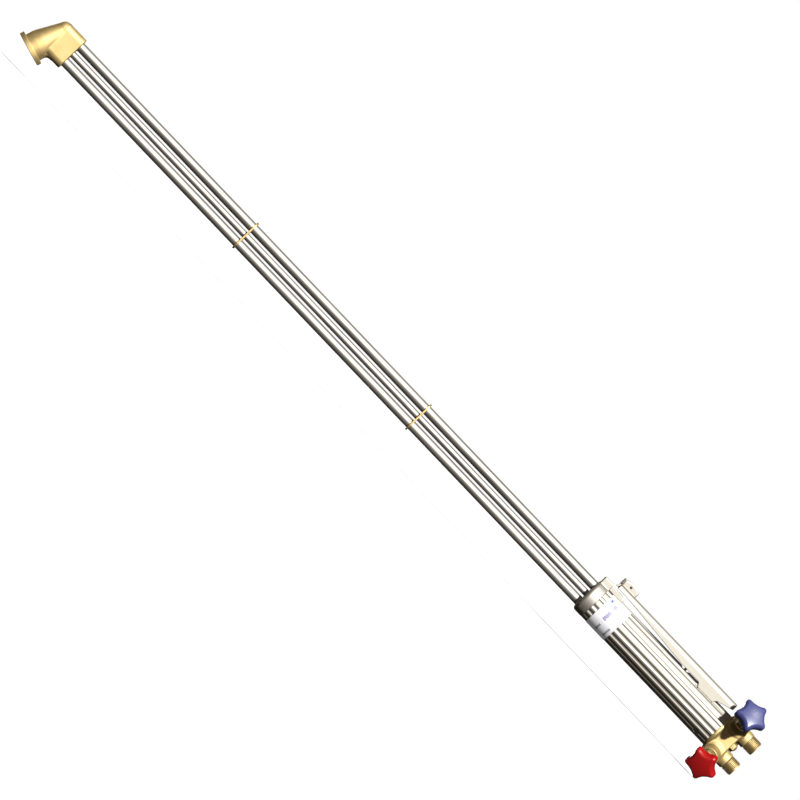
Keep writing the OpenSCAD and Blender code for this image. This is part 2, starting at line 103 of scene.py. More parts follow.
AXIS_Z = middle("heating_oxygen_tube")[2]
TUBE_Z = middle("cutting_oxygen_tube")[2] - AXIS_Z
TUBE_R = (box_mm("cutting_oxygen_tube")[1] - middle("cutting_oxygen_tube"))[2]
PILOT_R = (box_mm("heating_oxygen_tube")[1] - middle("heating_oxygen_tube"))[2]
HEAD_REAR = box_mm("torch_head")[1][0]
CAP_X = box_mm("handle_front_cap")[0][0]
SLEEVE_X, BODY_X = box_mm("handle_sleeve")[0][0], box_mm("handle_sleeve")[1][0]
HANDLE_R = (box_mm("handle_sleeve")[1] - box_mm("handle_sleeve")[0])[1] / 2
BODY_FRONT = box_mm("valve_body")[0][0]
INLET_END = box_mm("valve_body")[1][0]
NOZZLE, NOZZLE_OUT = mount_mm("nozzle_socket")
PIVOT, _ = joint_mm("lever_press")
LATCH_PIN, _ = joint_mm("latch_swing")
LEVER_LO, LEVER_HI = box_mm("lever")
CUTTING_VALVE_X = middle("cutting_valve_plunger")[0]
UP = np.array([0.0, 0.0, 1.0])
REAR = np.array([1.0, 0.0, 0.0])
ACROSS = np.array([0.0, 1.0, 0.0])


# ---------------------------------------------------------------- distance functions

def join(a, b, r):
    """Union of two solids with a fillet of radius r."""
    return np.maximum(r, np.minimum(a, b)) - np.hypot(np.maximum(r - a, 0), np.maximum(r - b, 0))


def meet(a, b, r):
    """Intersection of two solids with its edge rounded to radius r."""
    return np.minimum(-r, np.maximum(a, b)) + np.hypot(np.maximum(r + a, 0), np.maximum(r + b, 0))


def cut(a, b, r):
    """Solid a without solid b, with the edge rounded to radius r."""
    return meet(a, -b, r)


def axial(p, origin, direction):
    """How far each point lies along an axis, and how far away from it."""
    q = p - origin
    t = q @ direction
    return t, np.sqrt(np.maximum((q * q).sum(1) - t * t, 1e-12))


def between(t, low, high):
    return np.abs(t - (low + high) / 2) - (high - low) / 2


def rod(p, origin, direction, r, low, high, edge=0.0):
    """A cylinder on an axis, from low to high along it."""
    t, away = axial(p, origin, direction)
    return meet(away - r, between(t, low, high), edge)


def plate(u, v, half_u, half_v, r):
    """Distance to a rectangle with rounded corners, round the middle of a plane."""
    du, dv = np.abs(u) - half_u + r, np.abs(v) - half_v + r
    return np.hypot(np.maximum(du, 0), np.maximum(dv, 0)) + np.minimum(np.maximum(du, dv), 0) - r


def outline(u, v, points):
    """Distance to a closed polygon in a plane."""
    q = np.column_stack([u, v])
    best, inside = np.full(len(q), np.inf), np.zeros(len(q), bool)
    points = np.array(points, float)
    for a, b in zip(points, np.roll(points, -1, axis=0)):
        e, w = b - a, q - a
        off = w - np.clip(w @ e / (e @ e), 0, 1)[:, None] * e
        best = np.minimum(best, (off * off).sum(1))
        if a[1] != b[1]:
            crossing = a[0] + (q[:, 1] - a[1]) * e[0] / e[1]
            inside ^= ((a[1] > q[:, 1]) != (b[1] > q[:, 1])) & (q[:, 0] < crossing)
    return np.where(inside, -1, 1) * np.sqrt(best)


def softened(points, r, steps=5):
    """A closed polygon with its corners rounded off, r measured along the sides."""
    points, out = np.array(points, float), []
    for i, p in enumerate(points):
        a, b = points[i - 1] - p, points[(i + 1) % len(points)] - p
        a, b = (d * min(r / np.linalg.norm(d), 0.45) for d in (a, b))
        for t in np.linspace(0, 1, steps):
            out.append(p + (1 - t) ** 2 * a + t ** 2 * b)
    return out


def gradient(f, p, h=0.01):
    g = np.empty_like(p)
    for k in range(3):
        step = np.zeros(3)
        step[k] = h
        g[:, k] = (f(p + step) - f(p - step)) / (2 * h)
    return g


def net(f, low, high, cell, block=6):
    """Vertices, quads and normals of the closed surface where f is zero.

    f is tried once for each block of cells, and then only at the corners of those near its zero.
    """
    cell = np.array(cell, float) * np.ones(3)
    low = np.array(low, float)
    blocks = np.ceil((np.array(high) - low) / (cell * block)).astype(int)
    centres = low + cell * block * (np.indices(blocks).reshape(3, -1).T + 0.5)
    d = f(centres).reshape(blocks)
    near = np.abs(d) < 0.55 * np.linalg.norm(cell * block)
    for k in range(3):
        d, near = (np.repeat(grid, block, axis=k) for grid in (d, near))
    d, near = (np.pad(grid, ((0, 1),) * 3, mode="edge") for grid in (d, near))
    for k in range(3):
        near |= np.roll(near, 1, axis=k)
    d[near] = f(low + cell * np.argwhere(near))
    n = np.array(d.shape)
    inside = d < 0
    corners = [np.array([i, j, k]) for i in (0, 1) for j in (0, 1) for k in (0, 1)]
    views = [inside[c[0]:n[0] - 1 + c[0], c[1]:n[1] - 1 + c[1], c[2]:n[2] - 1 + c[2]] for c in corners]
    filled = sum(v.astype(np.int8) for v in views)
    mixed = (filled > 0) & (filled < 8)
    index = np.full(mixed.shape, -1)
    cells = np.argwhere(mixed)
    index[mixed] = np.arange(len(cells))
    total, count = np.zeros((len(cells), 3)), np.zeros(len(cells))
    for a in corners:
        for k in range(3):
            if a[k] == 1:
                continue
            b = a.copy()
            b[k] = 1
            da, db = d[tuple((cells + a).T)], d[tuple((cells + b).T)]
            hit = (da < 0) != (db < 0)
            share = da[hit] / (da[hit] - db[hit])
            total[hit] += a + share[:, None] * (b - a)
            count[hit] += 1
    v = low + cell * (cells + total / count[:, None])
    quads = []
    for k in range(3):
        u, w = (k + 1) % 3, (k + 2) % 3
        first = np.take(inside, range(n[k] - 1), k)
        second = np.take(inside, range(1, n[k]), k)
        at = np.argwhere(first != second)
        at = at[(at[:, u] > 0) & (at[:, w] > 0) & (at[:, u] < n[u] - 1) & (at[:, w] < n[w] - 1)]
        leaving = first[tuple(at.T)]
        ring = []
        for du, dw in ((1, 1), (0, 1), (0, 0), (1, 0)):
            c = at.copy()
            c[:, u] -= du
            c[:, w] -= dw
            ring.append(index[tuple(c.T)])
        q = np.column_stack(ring)
        q[~leaving] = q[~leaving][:, ::-1]
        quads.append(q)
    for _ in range(4):
        g = gradient(f, v)
        step = f(v)[:, None] * g / np.maximum((g * g).sum(1), 0.05)[:, None]
        v -= np.clip(step, -cell, cell)
    g = gradient(f, v)
    return v, np.concatenate(quads), g / np.maximum(np.linalg.norm(g, axis=1), 1e-9)[:, None]


# ---------------------------------------------------------------- meshes and pieces

def mesh_piece(name, v, faces, body, material, nodes=(), normals=None, sharp=None):
    """A new piece from vertices in millimetres, riding on a body."""
    mesh = bpy.data.meshes.new(name)
    mesh.from_pydata((np.asarray(v) * MM).tolist(), [], [list(map(int, q)) for q in faces])
    mesh.validate()
    mesh.shade_smooth()
    if sharp:
        mesh.set_sharp_from_angle(angle=math.radians(sharp))
    if normals is not None and len(normals) == len(mesh.vertices):
        mesh.normals_split_custom_set_from_vertices(normals.tolist())
    piece = bpy.data.objects.new(name, mesh)
    bpy.context.scene.collection.objects.link(piece)
    return dress(piece, body, material, nodes)


def dress(piece, body, material, nodes=()):
    """Gives a piece its finish and body and hides the CAD nodes it stands for; metal shows the room and not its
    neighbours.
    """
    piece.data.materials.clear()
    piece.data.materials.append(material)
    piece.visible_glossy = False
    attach(piece, body)
    if nodes:
        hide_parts(*nodes)
    return piece


def cast(name, f, low, high, cell, body, material, nodes=()):
    """A piece whose surface is where the distance function f is zero."""
    v, quads, normals = net(f, low, high, cell)
    return mesh_piece(name, v, quads, body, material, nodes, normals)


def square_to(direction):
    """Two unit vectors square to a direction and to each other."""
    side = np.cross(direction, [0.0, 1.0, 0.0])
    if np.linalg.norm(side) < 0.1:
        side = np.cross(direction, [0.0, 0.0, 1.0])
    side /= np.linalg.norm(side)
    return side, np.cross(direction, side)


def chamfered(profile, c=0.25):
    """A (along, radius) profile with each corner cut off by up to c."""
    out = []
    for i, point in enumerate(profile):
        p = np.array(point, float)
        if i in (0, len(profile) - 1):
            out.append(p)
            continue
        for q in (np.array(profile[i - 1], float), np.array(profile[i + 1], float)):
            d = np.linalg.norm(q - p)
            out.append(p + (q - p) * min(c / max(d, 1e-9), 0.4))
    return out


def lathed(profile, origin, direction, steps=96):
    """Vertices and faces of a profile of (along, radius) turned round an axis."""
    side, other = square_to(direction)
    a = np.arange(steps) * 2 * math.pi / steps
    ring = np.cos(a)[:, None] * side + np.sin(a)[:, None] * other
    v = np.concatenate([origin + t * direction + r * ring for t, r in profile])
    faces = []
    for i in range(len(profile) - 1):
        for j in range(steps):
            k = (j + 1) % steps
            faces.append([i * steps + j, i * steps + k, (i + 1) * steps + k, (i + 1) * steps + j])
    if profile[0][1] > 1e-6 and tuple(profile[0]) != tuple(profile[-1]):
        faces.append(list(range(steps))[::-1])
        faces.append([(len(profile) - 1) * steps + j for j in range(steps)])
    return v, faces


def lathe(name, profile, origin, direction, body, material, nodes=(), steps=96):
    v, faces = lathed(chamfered(profile), np.array(origin, float), direction, steps)
    return mesh_piece(name, v, faces, body, material, nodes, sharp=28)


# ---------------------------------------------------------------- materials

class Paint:
    """A material's node tree, with short calls for the nodes that the finishes share."""

    def __init__(self, name, color, metallic, roughness):
        self.material = bpy.data.materials.new(name)
        self.material.use_nodes = True
        self.tree = self.material.node_tree
        self.shader = self.tree.nodes["Principled BSDF"]
        self.shader.inputs["Base Color"].default_value = (*color, 1)
        self.shader.inputs["Metallic"].default_value = metallic
        self.shader.inputs["Roughness"].default_value = roughness
        self.place = self.add("ShaderNodeTexCoord").outputs["Object"]
        self.relief = None

    def add(self, kind, **values):
        node = self.tree.nodes.new(kind)
        for key, value in values.items():
            setattr(node, key, value)
        return node

    def link(self, source, target):
        self.tree.links.new(source, target)

    def stretched(self, scale, turn=(0, 0, 0)):
        """The object's coordinates, turned and then scaled by repeats per metre."""
        node = self.add("ShaderNodeMapping")
        node.inputs["Rotation"].default_value = turn
        node.inputs["Scale"].default_value = scale
        self.link(self.place, node.inputs["Vector"])
        return node.outputs["Vector"]

    def noise(self, scale, detail=3, rough=0.5, turn=(0, 0, 0)):
        """Noise with the given repeats per metre, along each axis or all alike."""
        scale = scale if isinstance(scale, tuple) else (scale,) * 3
        node = self.add("ShaderNodeTexNoise")
        node.inputs["Scale"].default_value = 1
        node.inputs["Detail"].default_value = detail
        node.inputs["Roughness"].default_value = rough
        self.link(self.stretched(scale, turn), node.inputs["Vector"])
        return node.outputs["Fac"]

    def ramp(self, value, low, high, out_low=0.0, out_high=1.0):
        node = self.add("ShaderNodeMapRange")
        for key, x in zip(("From Min", "From Max", "To Min", "To Max"), (low, high, out_low, out_high)):
            node.inputs[key].default_value = x
        self.link(value, node.inputs["Value"])
        return node.outputs["Result"]

    def math(self, operation, a, b):
        node = self.add("ShaderNodeMath", operation=operation)
        for socket, x in zip(node.inputs, (a, b)):
            if isinstance(x, (int, float)):
                socket.default_value = x
            else:
                self.link(x, socket)
        return node.outputs["Value"]

    def blend(self, share, a, b):
        """Colour a where share is 0 and colour b where it is 1."""
        node = self.add("ShaderNodeMix", data_type="RGBA")
        self.link(share, node.inputs["Factor"])
        for key, x in (("A", a), ("B", b)):
            socket = next(s for s in node.inputs if s.name == key and s.type == "RGBA")
            if isinstance(x, tuple):
                socket.default_value = (*x, 1)
            else:
                self.link(x, socket)
        return next(s for s in node.outputs if s.type == "RGBA")

    def color(self, socket):
        self.link(socket, self.shader.inputs["Base Color"])

    def roughness(self, value, low, high, out_low, out_high):
        self.link(self.ramp(value, low, high, out_low, out_high), self.shader.inputs["Roughness"])

    def edges(self, low=0.5, high=0.58):
        """About 1 on the mesh's convex edges and 0 elsewhere."""
        return self.ramp(self.add("ShaderNodeNewGeometry").outputs["Pointiness"], low, high)

    def bump(self, height, depth_mm, strength=1.0):
        """Relief of up to depth_mm, on top of the relief so far."""
        node = self.add("ShaderNodeBump")
        node.inputs["Distance"].default_value = depth_mm * MM
        node.inputs["Strength"].default_value = strength
        self.link(height, node.inputs["Height"])
        if self.relief:
            self.link(self.relief, node.inputs["Normal"])
        self.relief = node.outputs["Normal"]
        self.link(self.relief, self.shader.inputs["Normal"])


def cast_brass():
    """Tumbled cast brass: fine grain, soft mottling, brighter rubbed edges."""
    p = Paint("cast_brass", (0.81, 0.59, 0.25), 1.0, 0.65)
    mottle = p.noise(90, 4)
    warm = p.blend(p.ramp(mottle, 0.35, 0.7), (0.80, 0.62, 0.29), (0.74, 0.55, 0.24))
    p.color(p.blend(p.edges(0.52, 0.64), warm, (0.88, 0.70, 0.36)))
    p.roughness(p.noise(160, 5), 0.3, 0.7, 0.60, 0.70)
    p.bump(p.noise(260, 3), 0.05, 0.5)
    p.bump(p.noise(3200, 2), 0.012, 0.6)
    return p.material


def turned_brass():
    """Bright turned brass: fine tool marks and light handling marks."""
    p = Paint("turned_brass", (0.82, 0.62, 0.28), 1.0, 0.55)
    p.color(p.blend(p.ramp(p.noise(200, 3), 0.35, 0.7), (0.84, 0.64, 0.29), (0.76, 0.55, 0.23)))
    p.roughness(p.noise((600, 2500, 2500), 4), 0.3, 0.7, 0.48, 0.62)
    p.bump(p.noise((9000, 900, 900), 2), 0.006, 0.6)
    return p.material


def drawn_stainless():
    """Drawn and polished stainless tube: hair lines along the barrel, faint smudges."""
    p = Paint("drawn_stainless", (0.60, 0.565, 0.50), 1.0, 0.5)
    p.color(p.blend(p.ramp(p.noise((14, 60, 60), 4), 0.35, 0.75), (0.62, 0.585, 0.52), (0.55, 0.51, 0.45)))
    lines = p.noise((30, 6500, 6500), 3, 0.6)
    smudge = p.noise((18, 120, 120), 3)
    p.roughness(p.math("ADD", p.math("MULTIPLY", lines, 0.4), p.math("MULTIPLY", smudge, 0.6)),
                0.3, 0.7, 0.48, 0.60)
    p.bump(lines, 0.005, 0.5)
    return p.material


def nickel_plate():
    """Bright nickel plate: faint orange peel, fine scratches, edges rubbed warmer."""
    p = Paint("nickel_plate", (0.63, 0.59, 0.51), 1.0, 0.62)
    cloud = p.ramp(p.noise((40, 90, 90), 4), 0.35, 0.75)
    base = p.blend(cloud, (0.64, 0.60, 0.52), (0.59, 0.55, 0.475))
    p.color(p.blend(p.edges(0.52, 0.62), base, (0.71, 0.66, 0.57)))
    across = p.noise((1500, 60, 4000), 3, 0.6, (0.3, 0.5, 0.2))
    along = p.noise((60, 5000, 2500), 3, 0.6, (0.1, -0.2, 0.15))
    p.roughness(p.math("ADD", p.math("MULTIPLY", across, 0.5), p.math("MULTIPLY", along, 0.5)),
                0.38, 0.62, 0.57, 0.68)
    p.bump(p.noise(700, 2), 0.008, 0.4)
    p.bump(along, 0.003, 0.4)
    return p.material


def turned_steel(name, shade):
    p = Paint(name, (0.48 * shade, 0.46 * shade, 0.43 * shade), 1.0, 0.45)
    light, dark = (tuple(shade * c for c in color) for color in ((0.50, 0.48, 0.45), (0.40, 0.38, 0.35)))
    p.color(p.blend(p.ramp(p.noise(300, 3), 0.35, 0.7), light, dark))
    p.roughness(p.noise(900, 4), 0.3, 0.7, 0.36, 0.52)
    p.bump(p.noise(5000, 2), 0.005, 0.5)
    return p.material


def nitrile():
    p = Paint("nitrile_rubber", (0.02, 0.02, 0.02), 0.0, 0.6)
    p.color(p.blend(p.noise(500, 3), (0.015, 0.015, 0.016), (0.04, 0.04, 0.038)))
    p.roughness(p.noise(900, 3), 0.3, 0.7, 0.5, 0.75)
    p.bump(p.noise(6000, 2), 0.01, 0.5)
    return p.material


def moulded_plastic(name, color, pale):
    """Moulded plastic: fine grain, slightly paler where hands rub the edges."""
    p = Paint(name, color, 0.0, 0.34)
    tone = p.blend(p.ramp(p.noise(120, 3), 0.3, 0.75), color, tuple(0.86 * c for c in color))
    p.color(p.blend(p.ramp(p.edges(0.53, 0.70), 0, 1, 0, 0.4), tone, pale))
    p.roughness(p.noise(700, 4), 0.3, 0.7, 0.28, 0.42)
    p.bump(p.noise(4200, 2), 0.012, 0.5)
    p.shader.inputs["Specular IOR Level"].default_value = 0.4
    return p.material


def printed_film(name, color, roughness=0.32):
    """Vinyl film or the ink on it: a soft gloss with faint creases and scuffs."""
    p = Paint(name, color, 0.0, roughness)
    p.color(p.blend(p.ramp(p.noise(90, 4), 0.35, 0.75), color, tuple(0.93 * c for c in color)))
    p.roughness(p.noise(400, 3), 0.3, 0.7, roughness - 0.06, roughness + 0.10)
    p.bump(p.noise(150, 2), 0.02, 0.25)
    return p.material


FILM = printed_film("label_film", (0.82, 0.82, 0.83))
VIOLET = printed_film("violet_ink", (0.22, 0.16, 0.38))
INK_BLUE = printed_film("blue_ink", (0.14, 0.20, 0.55))
INK_GREY = printed_film("grey_ink", (0.16, 0.16, 0.19))
BRASS = cast_brass()
TURNED = turned_brass()
STAINLESS = drawn_stainless()
NICKEL = nickel_plate()
STEEL = turned_steel("turned_steel", 1.0)
BLACKED = turned_steel("blacked_steel", 0.15)
RUBBER = nitrile()
BLUE = moulded_plastic("blue_plastic", (0.045, 0.050, 0.155), (0.08, 0.09, 0.24))
RED = moulded_plastic("red_plastic", (0.31, 0.004, 0.004), (0.40, 0.02, 0.02))

# CAD nodes that stay keep their meshes and get these finishes
FINISH = {"cast_brass": BRASS, "turned_brass": TURNED, "stainless_tube": STAINLESS,
          "nickel_plate": NICKEL, "steel_hardware": STEEL, "seal_rubber": RUBBER,
          "printed_label": FILM, "blue_plastic": BLUE, "red_plastic": RED}
for part in frame["record"]["subparts"]:
    thing = frame["nodes"][part["node"]]
    thing.data.materials.clear()
    thing.data.materials.append(FINISH[part["material_slot"]])

# ---------------------------------------------------------------- the head

INTO_HEAD = -NOZZLE_OUT
FLANGE_R, FLANGE_T = 18.0, 4.7
NECK_R, NECK_T = 14.2, 13.0
CROWN_R, CROWN_T = 7.6, 41.0
BLOCK_HALF_W, BLOCK_HALF_H = 10.0, 19.2
CROWN_SPREAD = BLOCK_HALF_W - CROWN_R
THREAD_R, THREAD_ROOT_R, THREAD_T = 11.2, 12.0, 10.0
SOCKET_SECTION = [(-2, -9), (-2, 12.9), (0, 12.7), (0.8, THREAD_ROOT_R), (THREAD_T, THREAD_ROOT_R),
                  (THREAD_T, 9.6), (15, 7.4), (16.5, 7.4), (16.5, 6.2), (21.4, 4.4), (21.4, 2.6),
                  (25, 2.6), (25, -9)]
WEB_CORNER, WEB_R = (15.4, -19.2), 7.0
TUBES = ((TUBE_Z, TUBE_R), (0.0, PILOT_R), (-TUBE_Z, TUBE_R))


def from_axis(p):
    """Columns x, y and z with z measured from the barrel axis."""
    return p[:, 0], p[:, 1], p[:, 2] - AXIS_Z


def tube_holes(p, low, high, gap=0.05):
    x, y, z = from_axis(p)
    across = np.minimum.reduce([np.hypot(y, z - h) - r - gap for h, r in TUBES])
    return np.maximum(across, between(x, low, high))


def head_shape(p):
    x, y, z = from_axis(p)
    t, away = axial(p, NOZZLE, INTO_HEAD)
    # the round neck tapers to a rounded crown as wide as the block
    spread = CROWN_SPREAD * np.clip((t - NECK_T) / (CROWN_T - NECK_T), 0, 1)
    q = p - NOZZLE
    q[:, 1] -= np.clip(q[:, 1], -spread, spread)
    thin = np.sqrt(np.maximum((q * q).sum(1) - t * t, 1e-12))
    slope = (NECK_R - CROWN_R) / (CROWN_T - NECK_T)
    cone = (thin - NECK_R + slope * (t - NECK_T)) / math.hypot(1, slope)
    neck = meet(away - NECK_R, cone, 0.8)
    neck = np.maximum(neck, between(t, 1, CROWN_T))
    crown = np.hypot(t - CROWN_T, thin) - CROWN_R
    neck = join(neck, crown, 0.6)
    flange = meet(away - FLANGE_R, between(t, 0, FLANGE_T), 0.7)
    crown_x = CROWN_T * INTO_HEAD[0]
    block = meet(plate(y, z, BLOCK_HALF_W, BLOCK_HALF_H, 7.5), between(x, crown_x, HEAD_REAR), 0.7)
    web = np.maximum(np.maximum(np.abs(x - WEB_CORNER[0] - 1.5) - 5.5, np.abs(z - WEB_CORNER[1] + 2) - 5),
                     WEB_R - np.hypot(x - WEB_CORNER[0] - WEB_R, z - WEB_CORNER[1] + WEB_R))
    web = meet(web, np.abs(y) - BLOCK_HALF_W + 2, 7)
    casting = join(join(join(neck, block, 0.9), web, 1.5), flange, 0.5)
    socket = outline(t, away, SOCKET_SECTION)
    return cut(cut(casting, socket, 0.25), tube_holes(p, HEAD_REAR - 10, HEAD_REAR + 5), 0.3)


lo, hi = box_mm("torch_head")
cast("torch_head_casting", head_shape, lo - 1.5, hi + 1.5, 0.5, "torch_body", BRASS,
     ["torch_head"])


def screw_thread(name, origin, direction, root, crest, pitch, turns, hand, material, back):
    """A helical thread from origin on; back is the radius of its hidden inner or outer face."""
    side, other = square_to(direction)
    steps, fine = 72, 10
    rows = int(turns * fine) + 1
    v = []
    for i in range(rows):
        along = i / fine
        fade = min(1, along / 0.6, (turns - along) / 0.6)
        for j in range(steps):
            phase = (along - hand * j / steps) % 1
            height = min(1, phase / 0.35, (1 - phase) / 0.35) * fade
            r = root + (crest - root) * height
            a = 2 * math.pi * j / steps
            v.append(origin + along * pitch * direction + r * (math.cos(a) * side + math.sin(a) * other))
    for along in (turns, 0):
        for j in range(steps):
            a = 2 * math.pi * j / steps
            v.append(origin + along * pitch * direction + back * (math.cos(a) * side + math.sin(a) * other))
    faces = []
    for i in range(rows + 2):
        for j in range(steps):
            k, m = (j + 1) % steps, (i + 1) % (rows + 2)
            faces.append([i * steps + j, i * steps + k, m * steps + k, m * steps + j])
    if back > crest:
        faces = [q[::-1] for q in faces]
    mesh_piece(name, v, faces, "torch_body", material, sharp=35)


screw_thread("nozzle_socket_thread", NOZZLE + 0.9 * INTO_HEAD, INTO_HEAD, THREAD_ROOT_R + 0.02,
             THREAD_R, 1.5, 5.9, 1, TURNED, THREAD_ROOT_R + 0.4)

# ---------------------------------------------------------------- tubes, brazing and clips

for name, (height, r) in zip(("cutting_oxygen_tube", "heating_oxygen_tube", "fuel_tube"), TUBES):
    lo, hi = box_mm(name)
    length = hi[0] - lo[0]
    section = [(0, r - 1), (0, r), (length, r), (length, r - 1), (0, r - 1)]
    start = np.array([lo[0], 0, AXIS_Z + height])
    lathe(name + "_drawn", section, start, REAR, "torch_body", STAINLESS, [name])
    # the brazing's hollow fillet where the tube enters the head
    hollow = [(0.9 * (1 - math.cos(a)), r + 0.02 + 0.9 * (1 - math.sin(a)))
              for a in np.linspace(0, math.pi / 2, 7)]
    section = [(-0.3, r + 0.02), (-0.3, r + 0.92), *hollow, (-0.3, r + 0.02)]
    v, faces = lathed(section, np.array([HEAD_REAR, 0, AXIS_Z + height]), REAR, 64)
    mesh_piece(name + "_brazing", v, faces, "torch_body", TURNED, sharp=40)

clip_lo, clip_hi = box_mm("tube_clips")
CLIP_T = 2.0
CLIP_HALF_H = (clip_hi[2] - clip_lo[2]) / 2
CLIP_HALF_W = (clip_hi[1] - clip_lo[1]) / 2


def clip_at(x0):
    def shape(p):
        x, y, z = from_axis(p)
        body = meet(plate(y, z, CLIP_HALF_W, CLIP_HALF_H, CLIP_HALF_W), np.abs(x - x0) - CLIP_T / 2, 0.3)
        return cut(body, tube_holes(p, x0 - 5, x0 + 5), 0.15)
    return shape


for i, x0 in enumerate((clip_lo[0] + CLIP_T / 2, clip_hi[0] - CLIP_T / 2)):
    cast(f"tube_clip_{i + 1}", clip_at(x0), (x0 - 2, clip_lo[1] - 1, clip_lo[2] - 1),
         (x0 + 2, clip_hi[1] + 1, clip_hi[2] + 1), 0.3, "torch_body", TURNED,
         ["tube_clips"] if i == 0 else [])

# ---------------------------------------------------------------- valve body

SPIGOT_R, BORE_R = HANDLE_R - 2.9, HANDLE_R - 2.6
BODY_REAR = BODY_X + 21.5
BODY_R, FLAT_Y = 19.1, 11.5
COLLAR_R, COLLAR_T, SHOULDER_T = HANDLE_R - 0.2, 3.0, 2.5
BOSS_R, BOSS_LEN, ROOT_R, MOUTH_R = 9.75, 20.0, 8.8, 4.0
FOOT_R, FOOT_T = BOSS_R + 1.9, 8.0
# bores as (radius, from, to) along a needle valve and along the cutting valve
NEEDLE_BORES = ((1.6, 0, 7), (4.05, 6, 14), (6, 13, BOSS_LEN + 5))
CUTTING_BORES = ((6, 13.4, 24), (4.5, 6, 14), (3, 3, 7), (5, -11.5, 3.5), (6, -20, -11))
EAR_ROOM = 14.5
THREAD_CREST_R = 8.33
THREAD_PITCH, THREAD_TURNS = 1.337, 8
THREAD_X = BODY_X + 29.5
VALVES = {}
for side, name in ((1, "oxygen"), (-1, "fuel")):
    centre, out = joint_mm(name + "_valve_turn")
    VALVES[name] = (centre, out, side)
VALVE_X = VALVES["oxygen"][0][0]
WALL_Y = (LEVER_HI[1] - LEVER_LO[1]) / 2 - 1.2
SCREW_X, SCREW_TILT = BODY_X - 13.5, math.radians(52)
CUTTING_VALVE = np.array([CUTTING_VALVE_X, 0, AXIS_Z])


def screw_out(side):
    return np.array([0, side * -math.cos(SCREW_TILT), -math.sin(SCREW_TILT)])


def body_shape(p):
    x, y, z = from_axis(p)
    away = np.hypot(y, z)
    spigot = meet(away - SPIGOT_R, between(x, BODY_FRONT, BODY_X + 1), 0.5)
    collar = meet(away - COLLAR_R, between(x, BODY_X, BODY_X + COLLAR_T), 0.5)
    cone_x = BODY_X + COLLAR_T
    shoulder = outline(x, away, [(cone_x - 0.2, -9), (cone_x - 0.2, BODY_R), (cone_x + SHOULDER_T, FLAT_Y),
                                 (cone_x + SHOULDER_T, -9)])
    block = meet(meet(away - BODY_R, between(x, BODY_X + 1, BODY_REAR), 1.5), np.abs(y) - FLAT_Y, 1.5)
    solid = join(np.minimum(np.minimum(spigot, collar), shoulder), block, 1.2)
    holes = [np.maximum(away - 2.5, between(x, CUTTING_VALVE_X, BODY_REAR + 5)),
             np.maximum(away - 4, between(x, BODY_REAR - 8, BODY_REAR + 5)),
             tube_holes(p, BODY_FRONT - 5, BODY_FRONT + 8),
             rod(p, PIVOT, ACROSS, 2.05, -30, 30)]
    for centre, out, side in VALVES.values():
        inlet = centre * [0, 1, 1]
        root = rod(p, inlet, REAR, ROOT_R, BODY_X + 8, THREAD_X, 0.5)
        core = rod(p, inlet, REAR, THREAD_CREST_R - 0.9, THREAD_X - 1, INLET_END, 0.6)
        t, off = axial(p, centre, out)
        foot = (off - FOOT_R + np.maximum(t - FOOT_T, 0)) / 1.2
        boss = np.maximum(join(meet(off - BOSS_R, between(t, 0, BOSS_LEN), 0.6), foot, 0.8),
                          between(t, 0, BOSS_LEN))
        solid = join(join(solid, boss, 1.4), np.minimum(root, core), 1.6)
        cone = [(INLET_END - 3, -9), (INLET_END - 3, 4), (INLET_END + 1, 6.7), (INLET_END + 1, -9)]
        holes += [rod(p, inlet, REAR, MOUTH_R, VALVE_X - 4, INLET_END + 5),
                  outline(x, np.hypot(y, p[:, 2] - centre[2]), cone),
                  *(rod(p, centre, out, *bore) for bore in NEEDLE_BORES)]
        # flats beside the lever's ears, and the handle screws' holes
        holes += [np.maximum(np.maximum(between(x, PIVOT[0] - EAR_ROOM, BODY_X - 2), between(z, 1, 30)),
                             between(side * y, WALL_Y - 0.2, 30)),
                  rod(p, np.array([SCREW_X, 0, AXIS_Z]), screw_out(side), 2, HANDLE_R - 10, HANDLE_R)]
    holes += [rod(p, CUTTING_VALVE, UP, *bore) for bore in CUTTING_BORES]
    return cut(solid, np.minimum.reduce(holes), 0.25)


lo, hi = box_mm("valve_body")
cast("valve_body_casting", body_shape, lo - 1.5, hi + 1.5, 0.55, "torch_body", BRASS,
     ["valve_body"])
for name, (centre, out, side) in VALVES.items():
    screw_thread(name + "_inlet_thread", np.array([THREAD_X, 0, centre[2]]), REAR, THREAD_CREST_R - 0.88,
                 THREAD_CREST_R, THREAD_PITCH, THREAD_TURNS, side, TURNED,
                 THREAD_CREST_R - 1.3)


def hexagon(p, origin, direction, across_corners, low, high, edge=0.3):
    """A hexagonal prism with its corners turned off at both ends, one corner pointing sideways."""
    side, other = square_to(direction)
    q = p - origin
    t, a, b = q @ direction, q @ side, q @ other
    flat = across_corners * math.cos(math.pi / 6)
    prism = np.maximum.reduce([np.abs(a * math.sin(k) + b * math.cos(k)) - flat
                               for k in (0, math.pi / 3, -math.pi / 3)])
    prism = meet(prism, between(t, low, high), edge)
    turned = (np.hypot(a, b) + (np.abs(t - (low + high) / 2) - (high - low) / 2) * 1.8
              - flat - 0.4) / math.hypot(1, 1.8)
    return meet(prism, turned, 0.1)


def plug_shape(p):
    start = np.array([BODY_REAR, 0, AXIS_Z])
    nut = hexagon(p, start, REAR, 5.4, 0.05, 4.05, 0.3)
    dome = np.maximum(np.linalg.norm(p - start - REAR, axis=1) - 5, -(p[:, 0] - BODY_REAR - 2))
    stud = rod(p, start, REAR, MOUTH_R - 0.05, -6, 1, 0.2)
    return np.minimum(join(nut, dome, 0.3), stud)


lo, hi = box_mm("gallery_plug")
cast("gallery_plug_dome", plug_shape, lo - 1, hi + 1, 0.3, "torch_body", TURNED,
     ["gallery_plug"])

# ---------------------------------------------------------------- needle valves

